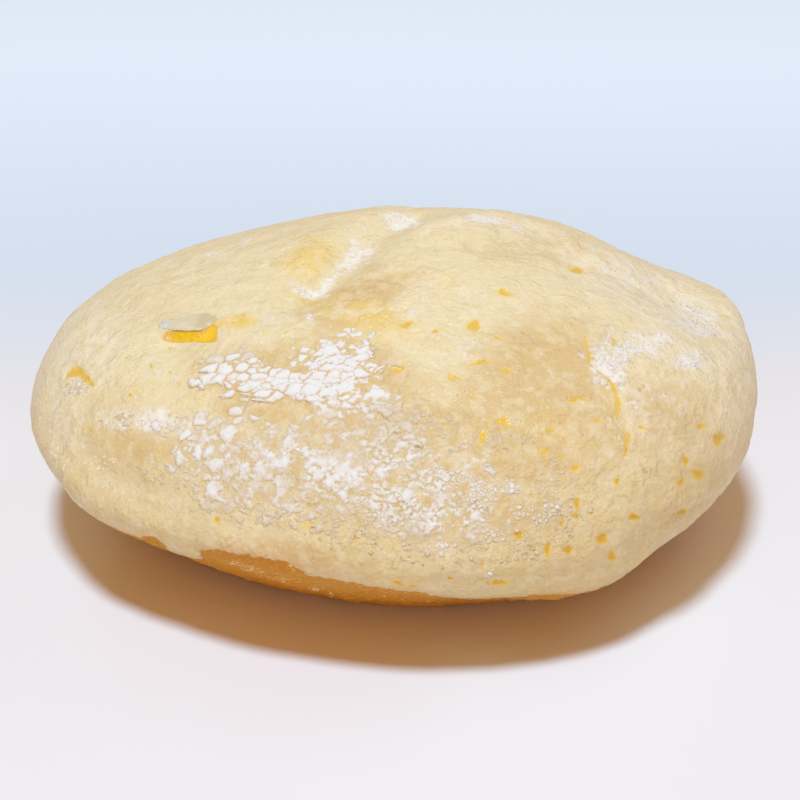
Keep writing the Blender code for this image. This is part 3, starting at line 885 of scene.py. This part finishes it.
class MOCHI_OT_skin(bpy.types.Operator):
    """Builds the skin with its torn pits and browned base"""

    bl_idname = "mochi.skin"
    bl_label = "Skin"

    def execute(self, context):
        settings = context.scene.mochi_skin
        mesh, towards = fine_sphere()
        set_points(mesh, eased(places_on_solid(towards), edge_ends(mesh)))
        mesh.shade_smooth()

        points = read_points(mesh)
        pixels = to_pixels(points)
        seen = facing(points, read_vectors(mesh.vertex_normals, "vector")) > SEEN_FROM
        slot = np.max([mark_field(pixels, mark, SLOT_SQUARENESS, SLOT_RAGGED, SLOT_TURNS)
                       for mark in SLOT_TEARS], axis=0)
        side, width = line_fields(pixels, CRACK)
        store(mesh, "torn", np.where(seen, torn_field(pixels), -1))
        store(mesh, "slot", np.where(seen, slot.clip(-1, 1), -1))
        store(mesh, "crack_side", side.clip(-CRACK_REACH, CRACK_REACH))
        store(mesh, "crack_width", width * seen * (np.abs(side) < CRACK_REACH))
        store(mesh, "fold", fold_field(pixels) * seen)
        fields = {"warm_and_shade": WARM_AND_SHADE, "glow": GLOW, "pale": PAINTED_LIGHT_PATCHES, "wet_and_glints": WET_AND_GLINTS, "dust": DUST_AND_HIGHLIGHTS}
        for name, parts in fields.items():
            store(mesh, name, patch_field(pixels, parts).clip(0, 1) * seen)
        store(mesh, "crumbs", patch_field(pixels, CRUMBS).clip(0, 2) * seen)
        folded = patch_field(pixels, PALE_FOLD) * seen * PALE_FOLD_DROP
        store(mesh, "brown", brown_field(points, tree_of(mesh)) - folded)

        material = skin_material(settings)
        piece = new_piece("bun_skin", mesh)
        numbers = labelled(settings, "pit_depth", "slot_depth", "lump_height", "wrinkle_height",
                           "grain_height", "crinkle_height")
        run_geometry_tree(piece, skin_tree(numbers), numbers, material)
        finish_piece(piece, material)
        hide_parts(CAD_NODE)
        return {"FINISHED"}


# ---------------------------------------------------------------- the flour crust

class MochiFlourSettings(bpy.types.PropertyGroup):
    """The sizes and colours of the flour."""

    white: colour_property("Flour", "Thick dry flour", 237, 237, 234)
    thin: colour_property("Thin flour", "Where the dough shows through", 215, 192, 149)
    bare: colour_property("Bare dough", "Dough between scattered plates", 216, 188, 136)
    crack: colour_property("Cracks", "Dough in the cracks", 222, 190, 138)
    toasted: colour_property("Toasted grains", "Grains on the baked base", 238, 204, 146)
    scale: length_property("Scales", "Size of the long plates", 1.2 * MM)
    large: length_property("Large plates", "Size of the large plates", 1.7 * MM)
    medium: length_property("Medium plates", "Size of the medium plates", 1.0 * MM)
    small: length_property("Small plates", "Size of the small plates", 0.50 * MM)
    height: length_property("Plate height", "How high the plates stand", 0.45 * MM)
    sink: length_property("Sink", "How far the gaps lie under the skin", 0.14 * MM)
    grain_size: length_property("Grain size", "Size of the loose grains", 0.22 * MM)
    density: number_property("Grain density", "Loose grains on a square metre of thick dust", 3.0e6)


# A size of plate, as its setting is called: where its plates lie, how they are stretched, the
# width of the cracks and of the rounded rims, how high the plates stand, how far each one
# reaches, and the share of the height that is left at the rim and on the thinnest plate.
Layer = namedtuple("Layer", "size patches stretch crack puff rise reach edge least")
LAYERS = (
    Layer("scale", SCALE_PLATES, (0.62, 1.0, 1.0), 0.03, 0.30, 1.0, 0.86, 0.6, 0.6),
    Layer("large", LARGE_PLATES, (0.85, 1.0, 1.0), 0.05, 0.25, 0.6, 0.9, 0.35, 0.75),
    Layer("medium", MEDIUM_PLATES, (0.85, 1.0, 1.0), 0.06, 0.34, 0.6, 0.85, 0.25, 0.75),
    Layer("small", SMALL_PLATES, (0.90, 1.0, 1.0), 0.06, 0.36, 0.54, 0.8, 0.3, 0.75),
)
SIZES = [layer.size for layer in LAYERS]
PLATE_RANDOMNESS = 0.95

# Where the crust's sheet lies, from the left, top, right and bottom in photo pixels, and how far
# apart its points are.
CRUST_BOX = (96, 300, 730, 592)
CRUST_SPACING = 1.1


def plates(graph, place, sizes):
    """Cracked plates in four sizes: how high they stand, their cover, and how white they are."""
    wave = graph.noise(place, 1.5 * MM, 3.0, 0.6, output=1)
    bent = graph.scaled(graph.vector("SUBTRACT", wave, (0.5, 0.5, 0.5)), 1.0 * MM)
    crumb = graph.noise(place, 0.4 * MM, 3.0, 0.65) - 0.5
    opening = graph.step(graph.noise(place, 1.8 * MM, 1.0), 0.35, 0.65)
    opening = graph.spread(opening, 0.8, -1.0)
    cluster = graph.step(graph.noise(place, 1.9 * MM, 3.0, 0.6), 0.34, 0.60)
    cluster = graph.spread(cluster, 0.48, 1.12)
    place = graph.vector("ADD", place, bent)
    height, cover, white = 0.0, 0.0, 0.0
    for layer, size in zip(LAYERS, sizes):
        at = graph.vector("MULTIPLY", place, layer.stretch)
        at = graph.scaled(at, graph.math("DIVIDE", 1.0, size))
        middle, random = graph.cells(at, 1.0, "F1", PLATE_RANDOMNESS)
        gap, _ = graph.cells(at, 1.0, "DISTANCE_TO_EDGE", PLATE_RANDOMNESS)
        present = graph.read(f"plates_{layer.size}") + 0.5 * crumb - graph.part(random, 0)
        gap = graph.math("MINIMUM", gap, layer.reach - middle)
        gap = gap + layer.crack * (1.5 * crumb + opening)
        present = graph.step(present, -0.05, 0.15) * graph.step(gap, -0.07, 0.01)
        pillow = (0.5 * graph.step(gap, 0.0, 0.4 * layer.puff)
                  + 0.5 * graph.step(gap, 0.0, 1.7 * layer.puff))
        thick = present * graph.spread(graph.part(random, 1), layer.least, 1.05)
        if layer.patches is not SCALE_PLATES:
            thick = thick * cluster
        rise = layer.rise * graph.spread(pillow, 0.7 * layer.edge, 1.0)
        height = graph.most(height, thick * rise)
        white = graph.most(white, thick * graph.spread(pillow, layer.edge, 1.0))
        cover = graph.most(cover, present * graph.step(gap, 0.0, layer.crack * 2.6))
    return height, cover, white


def crust_tree(numbers):
    """Raises the plates from the skin, and drops what lies between them."""
    graph, given = new_geometry_tree("Flour Crust", numbers)
    place = graph.read("rest_place", vector=True)
    height, _, _ = plates(graph, place, [given[size.title()] for size in SIZES])
    rough = graph.noise(place, 0.5 * MM, 3.0) - 0.5
    uneven = height + 0.5 * (rough * height)
    lift = uneven * (given["Height"] + given["Sink"]) - given["Sink"]
    crust = pushed_out(graph, given["Geometry"], lift)
    around = graph.node("GeometryNodeBlurAttribute", {0: height, "Iterations": 1})[0]
    bare = graph.node(
        "FunctionNodeCompare", {0: around, 1: 0.02}, data_type="FLOAT", operation="LESS_THAN"
    )[0]
    left = graph.node("GeometryNodeDeleteGeometry", {
        "Geometry": crust, "Selection": bare,
    }, domain="POINT")[0]
    return end_geometry_tree(graph, left, given["Material"])


def crust_material(settings):
    """Dry white flour, thinner towards its edges, with dough in the cracks."""
    material, graph, shader = new_material("Flour crust")
    place = graph.read("rest_place", vector=True)
    raised, cover, white = plates(graph, place, [getattr(settings, size) for size in SIZES])
    grain = graph.noise(place, 0.3 * MM, 4.0, 0.7) - 0.5
    white = white * (0.75 * graph.read("thick") + 0.3) + 0.5 * grain
    flour = graph.blend(graph.step(white, 0.12, 0.72), settings.thin, settings.white)
    deep = graph.step(graph.read("plates_scale"), 0.3, 0.9)
    under = graph.blend(deep, settings.bare, settings.crack)
    set_shader(graph, shader, {
        "Base Color": graph.blend(cover, under, flour), "Roughness": 0.85,
        "Specular IOR Level": 0.2,
    })
    add_bump(graph, shader, raised + 0.3 * graph.noise(place, 0.4 * MM), 0.5, 0.25 * MM)
    return material


def photo_grid(name, box, spacing, tree, keep):
    """A sheet on the skin with evenly spaced points for the camera, where keep is positive."""
    left, top, right, bottom = box
    xs = np.arange(left, right, spacing)
    ys = np.arange(top, bottom, spacing)
    pixels = np.array([(x, y) for y in ys for x in xs])
    number = np.full(len(pixels), -1)
    points, spots = [], []
    for i in np.flatnonzero(keep(pixels) > 0):
        way = pixel_ray(*pixels[i])
        place, normal, _, _ = tree.ray_cast(EYE, way)
        if place is not None and -normal.dot(way) > CRUST_SEEN_FROM:
            number[i] = len(points)
            points.append(place)
            spots.append(pixels[i])
    grid = number.reshape(len(ys), len(xs))
    corners = np.stack([grid[1:, :-1], grid[1:, 1:], grid[:-1, 1:], grid[:-1, :-1]], axis=-1)
    corners = corners.reshape(-1, 4)
    faces = corners[(corners >= 0).all(axis=1)]
    mesh = bpy.data.meshes.new(name)
    mesh.from_pydata(points, [], faces.tolist())
    mesh.shade_smooth()
    return mesh, np.array(spots)


def most_flour(pixels):
    """Positive wherever plates of any size may lie."""
    return np.max([patch_field(pixels, layer.patches) for layer in LAYERS], axis=0) - FLOUR_LEAST


class MOCHI_OT_flour_crust(bpy.types.Operator):
    """Lays the cracked crust of flour on the skin"""

    bl_idname = "mochi.flour_crust"
    bl_label = "Flour crust"

    def execute(self, context):
        settings = context.scene.mochi_flour
        tree = tree_of(bpy.data.objects["bun_skin"].data)
        mesh, pixels = photo_grid("flour_crust", CRUST_BOX, CRUST_SPACING, tree, most_flour)
        store(mesh, "rest_place", read_points(mesh))
        for layer in LAYERS:
            store(mesh, f"plates_{layer.size}", patch_field(pixels, layer.patches))
        store(mesh, "thick", patch_field(pixels, THICK))
        material = crust_material(settings)
        piece = new_piece("flour_crust", mesh)
        numbers = labelled(settings, *SIZES, "height", "sink")
        run_geometry_tree(piece, crust_tree(numbers), numbers, material)
        finish_piece(piece, material)
        return {"FINISHED"}


# ---------------------------------------------------------------- loose flour grains

def grain_tree(numbers):
    """Loose grains of flour, scattered where the dust is."""
    graph, given = new_geometry_tree("Flour Grains", numbers)
    crumbs = graph.read("crumbs")
    thick = graph.step(graph.read("dust"), 0.1, 0.9) + 3.0 * graph.step(crumbs, 0.1, 1.2)
    points = graph.node("GeometryNodeDistributePointsOnFaces", {
        "Mesh": given["Geometry"], "Density": thick * given["Density"], "Seed": given["Seed"],
    })
    ball = graph.node("GeometryNodeMeshIcoSphere", {"Radius": 0.5, "Subdivisions": 1})[0]
    chance = graph.node(
        "FunctionNodeRandomValue", {"Min": 0.0, "Max": 1.0, "Seed": given["Seed"]}
    )[1]
    size = graph.spread(graph.math("POWER", chance, 2.5), 0.35, 1.3)
    size = size * (crumbs + 1.0) * given["Grain Size"]
    shape = graph.node("ShaderNodeCombineXYZ", {0: size, 1: 0.8 * size, 2: 0.55 * size})[0]
    grains = graph.node("GeometryNodeInstanceOnPoints", {
        "Points": points[0], "Instance": ball, "Rotation": points[2], "Scale": shape,
    })[0]
    return end_geometry_tree(graph, grains, given["Material"])


def grain_material(settings):
    material, graph, shader = new_material("Flour grains")
    patchy = graph.step(graph.noise(graph.place(), 0.8 * MM), 0.35, 0.65)
    baked = graph.step(graph.read("brown"), -0.6 * MM, -0.2 * MM)
    colour = graph.layered(settings.thin, (patchy, settings.white), (baked, settings.toasted))
    set_shader(graph, shader, {
        "Base Color": colour, "Roughness": 0.8, "Specular IOR Level": 0.25,
    })
    return material


class MOCHI_OT_flour_grains(bpy.types.Operator):
    """Scatters loose grains of flour on the skin"""

    bl_idname = "mochi.flour_grains"
    bl_label = "Flour grains"

    def execute(self, context):
        settings = context.scene.mochi_flour
        material = grain_material(settings)
        piece = new_piece("flour_grains", bpy.data.objects["bun_skin"].data.copy())
        numbers = {**labelled(settings, "density", "grain_size"), "Seed": SEED}
        run_geometry_tree(piece, grain_tree(numbers), numbers, material)
        finish_piece(piece, material)
        return {"FINISHED"}


# ---------------------------------------------------------------- the lifted flake

class MochiFlakeSettings(bpy.types.PropertyGroup):
    """The sizes and colours of the lifted flake."""

    colour: colour_property("Flake", "The dried flake", 226, 216, 184)
    pale: colour_property("Flake end", "Its bluish left end", 214, 218, 212)
    dark: colour_property("Flake tip", "Its darker right tip", 216, 200, 158)
    # Painted glints: bright specks on the flake's bluish end.
    white: colour_property("Flake specks", "Dry white specks on it", 238, 241, 240)
    lift: length_property("Lift", "How far its free edge stands off", 0.09 * MM)
    thickness: length_property("Thickness", "How thick it is", 0.05 * MM)


# The flake's ends as photo columns, its upper and lower edge as photo rows at even steps along
# it, how many faces it has along and down, and how deep it is rooted in the skin.
FLAKE_LEFT, FLAKE_RIGHT = 159, 217
FLAKE_TOP = (322, 319.5, 318, 314.5, 313, 312.5, 317)
FLAKE_BOTTOM = (327, 329.5, 330.5, 331, 331, 328.5, 320)
FLAKE_STEPS = (40, 10)
FLAKE_SINK = 0.05 * MM


def flake_mesh(tree, settings):
    """A thin curled sheet that leaves the skin towards its lower edge."""
    steps, rows = FLAKE_STEPS
    evenly = np.linspace(0, 1, len(FLAKE_TOP))
    made = bmesh.new()
    grid = []
    for along in np.arange(steps + 1) / steps:
        # Both edges are ragged, and the sheet stands off least at its ends.
        top, bottom = np.interp(along, evenly, FLAKE_TOP), np.interp(along, evenly, FLAKE_BOTTOM)
        top += 0.35 * math.sin(37 * along) + 0.25 * math.sin(71 * along)
        bottom += 0.3 * math.sin(29 * along)
        x = FLAKE_LEFT + (FLAKE_RIGHT - FLAKE_LEFT) * along
        wave = 1 + 0.25 * math.sin(9 * along + 2) + 0.15 * math.sin(21 * along)
        off = settings.lift * wave * math.sin(math.pi * min(along, 1 - along) + 0.3)
        line = []
        for down in np.arange(rows + 1) / rows:
            way = pixel_ray(x, top + (bottom - top) * down)
            place, normal, _, _ = tree.ray_cast(EYE, way)
            rise = off * math.sin(down * math.pi * 0.62)
            line.append(made.verts.new(place + normal * (rise - FLAKE_SINK)))
        grid.append(line)
    for left, right in zip(grid, grid[1:]):
        for j in range(rows):
            made.faces.new((left[j], left[j + 1], right[j + 1], right[j]))
    mesh = bpy.data.meshes.new("lifted_flake")
    made.to_mesh(mesh)
    made.free()
    mesh.shade_smooth()
    return mesh


def flake_material(settings):
    material, graph, shader = new_material("Dried flake")
    place = graph.place()
    across = graph.part(place, 0)
    patchy = graph.noise(place, 1.2 * MM, 3.0)
    glint_speck = graph.noise(place, 0.35 * MM)
    end = graph.step(across + 1.5 * MM * patchy, -25.5 * MM, -26.3 * MM)
    tip = graph.step(across + 3 * MM * patchy, -22.5 * MM, -21.2 * MM)
    # Painted glints: white specks on the bluish end.
    bright = graph.step(glint_speck, 0.5, 0.62) * graph.spread(end, 0.15, 0.8)
    colour = graph.layered(settings.colour, (end, settings.pale), (tip, settings.dark),
                           (bright, settings.white))
    set_shader(graph, shader, {"Base Color": colour, "Roughness": 0.4})
    add_bump(graph, shader, patchy + 0.4 * glint_speck, 0.5, 0.12 * MM)
    return material


class MOCHI_OT_flake(bpy.types.Operator):
    """Lifts the dried flake above the torn slot"""

    bl_idname = "mochi.flake"
    bl_label = "Lifted flake"

    def execute(self, context):
        settings = context.scene.mochi_flake
        material = flake_material(settings)
        tree = tree_of(bpy.data.objects["bun_skin"].data)
        piece = new_piece("lifted_flake", flake_mesh(tree, settings))
        solid = piece.modifiers.new("Thickness", "SOLIDIFY")
        solid.thickness = settings.thickness
        solid.offset = 1
        fine = piece.modifiers.new("Rounding", "SUBSURF")
        fine.levels = fine.render_levels = 1
        apply_modifiers(piece)
        finish_piece(piece, material)
        return {"FINISHED"}


# ---------------------------------------------------------------- the stage

class MochiStageSettings(bpy.types.PropertyGroup):
    """The floor and the lights."""

    floor: colour_property("Floor", "The pale floor", 243, 243, 245)
    far_floor: colour_property("Far floor", "The floor further back", 218, 236, 252)
    far_glow: colour_property("Far glow", "Light on the floor further back", 150, 166, 178)
    key_colour: colour_property("Key light", "The soft light above", 206, 232, 255)
    front_colour: colour_property("Front light", "Soft light from the camera's side", 255, 236, 212)
    fill_colour: colour_property("Fill light", "Warm light from all round", 255, 192, 122)
    sky: colour_property("Backdrop", "Pale backdrop", 222, 233, 245)
    key_power: number_property("Key power", "Power of the light above", 24.0, "POWER")
    key_size: length_property("Key size", "Width of the light above", 0.30)
    front_power: number_property("Front power", "Power of the light in front", 4.0, "POWER")
    side_power: number_property("Side power", "Power of the light at the right", 1.3, "POWER")
    fill_strength: number_property("Fill strength", "Brightness of the light all round", 0.40)


FLOOR_RADIUS = 20.0
CAMERA_RANGE = (0.01, 60)
KEY_PLACE = (-0.13, -0.41, 1.6)
FRONT_PLACE = (0.1, -1.5, 0.45)
FRONT_SIZE = 1.2
SIDE_PLACE = (0.9, 0.6, 0.8)
SIDE_SIZE = 0.9


def floor_material(settings):
    material, graph, shader = new_material("Pale floor")
    place = graph.place()
    back = graph.part(place, 1) + 0.03 * (graph.noise(place, 0.25, 1.0) - 0.5)
    far = graph.step(back, 0.02, 0.10)
    set_shader(graph, shader, {
        "Base Color": graph.blend(far, settings.floor, settings.far_floor),
        "Emission Color": settings.far_glow,
        "Emission Strength": 0.54 * graph.step(back, 0.03, 0.26),
        "Roughness": 0.35, "Specular IOR Level": 0.4,
    })
    return material


def link_object(name, data, place, towards):
    """An object that looks along its own -Z axis from a place."""
    made = bpy.data.objects.new(name, data)
    made.location = place
    made.rotation_euler = towards.to_track_quat("-Z", "Y").to_euler()
    bpy.context.scene.collection.objects.link(made)
    return made


def add_area(name, place, size, power, colour):
    """A round soft light that shines on the bun."""
    light = bpy.data.lights.new(name, "AREA")
    light.shape = "DISK"
    light.size = size
    light.energy = power
    light.color = tuple(colour)[:3]
    link_object(name, light, place, -Vector(place))


def add_world(scene, settings):
    """Warm light from all round, behind a pale backdrop."""
    world = bpy.data.worlds.new("Studio")
    world.use_nodes = True
    nodes = world.node_tree.nodes
    graph = Graph(world.node_tree)
    light = nodes["Background"]
    graph.feed(light.inputs["Color"], settings.fill_colour)
    graph.feed(light.inputs["Strength"], settings.fill_strength)
    shown = graph.node("ShaderNodeBackground", {"Color": settings.sky})[0]
    seen = graph.node("ShaderNodeLightPath")[0]
    inputs = {0: seen, 1: Value(graph, light.outputs[0]), 2: shown}
    both = graph.node("ShaderNodeMixShader", inputs)[0]
    graph.feed(nodes["World Output"].inputs["Surface"], both)
    scene.world = world


class MOCHI_OT_stage(bpy.types.Operator):
    """Sets up the floor, the lights and the photograph's camera"""

    bl_idname = "mochi.stage"
    bl_label = "Stage"

    def execute(self, context):
        settings = context.scene.mochi_stage
        scene = context.scene
        made = bmesh.new()
        bmesh.ops.create_circle(made, cap_ends=True, segments=96, radius=FLOOR_RADIUS)
        mesh = bpy.data.meshes.new("floor")
        made.to_mesh(mesh)
        made.free()
        mesh.materials.append(floor_material(settings))
        floor = bpy.data.objects.new("floor", mesh)
        scene.collection.objects.link(floor)

        add_area("key", KEY_PLACE, settings.key_size, settings.key_power, settings.key_colour)
        add_area("front", FRONT_PLACE, FRONT_SIZE, settings.front_power, settings.front_colour)
        add_area("side", SIDE_PLACE, SIDE_SIZE, settings.side_power, settings.key_colour)
        add_world(scene, settings)
        scene.view_settings.view_transform = "Standard"

        camera = bpy.data.cameras.new("camera")
        camera.sensor_width = SENSOR
        camera.lens = FOCAL_PIXELS * SENSOR / PHOTO_SIZE
        camera.clip_start, camera.clip_end = CAMERA_RANGE
        scene.camera = link_object("camera", camera, EYE, -BACK)
        return {"FINISHED"}


# ---------------------------------------------------------------- the add-on

OPERATORS = (
    MOCHI_OT_skin,
    MOCHI_OT_flour_crust,
    MOCHI_OT_flour_grains,
    MOCHI_OT_flake,
    MOCHI_OT_stage,
)
SETTINGS = {
    "mochi_skin": MochiSkinSettings,
    "mochi_flour": MochiFlourSettings,
    "mochi_flake": MochiFlakeSettings,
    "mochi_stage": MochiStageSettings,
}


class MOCHI_PT_panel(bpy.types.Panel):
    """Lists the steps that build the bun, and their settings"""

    bl_idname = "MOCHI_PT_panel"
    bl_label = "Mochi Bun"
    bl_space_type = "VIEW_3D"
    bl_region_type = "UI"
    bl_category = "Mochi Bun"

    def draw(self, context):
        for operator in OPERATORS:
            self.layout.operator(operator.bl_idname)
        for name in SETTINGS:
            group = getattr(context.scene, name)
            box = self.layout.box()
            for key in group.__annotations__:
                box.prop(group, key)


CLASSES = (*SETTINGS.values(), *OPERATORS, MOCHI_PT_panel)


def register():
    for kind in CLASSES:
        bpy.utils.register_class(kind)
    for name, group in SETTINGS.items():
        setattr(bpy.types.Scene, name, PointerProperty(type=group))


def unregister():
    for name in SETTINGS:
        delattr(bpy.types.Scene, name)
    for kind in reversed(CLASSES):
        bpy.utils.unregister_class(kind)


def main():
    register()
    bpy.ops.mochi.skin()
    bpy.ops.mochi.flour_crust()
    bpy.ops.mochi.flour_grains()
    bpy.ops.mochi.flake()
    bpy.ops.mochi.stage()


if __name__ == "__main__":
    main()
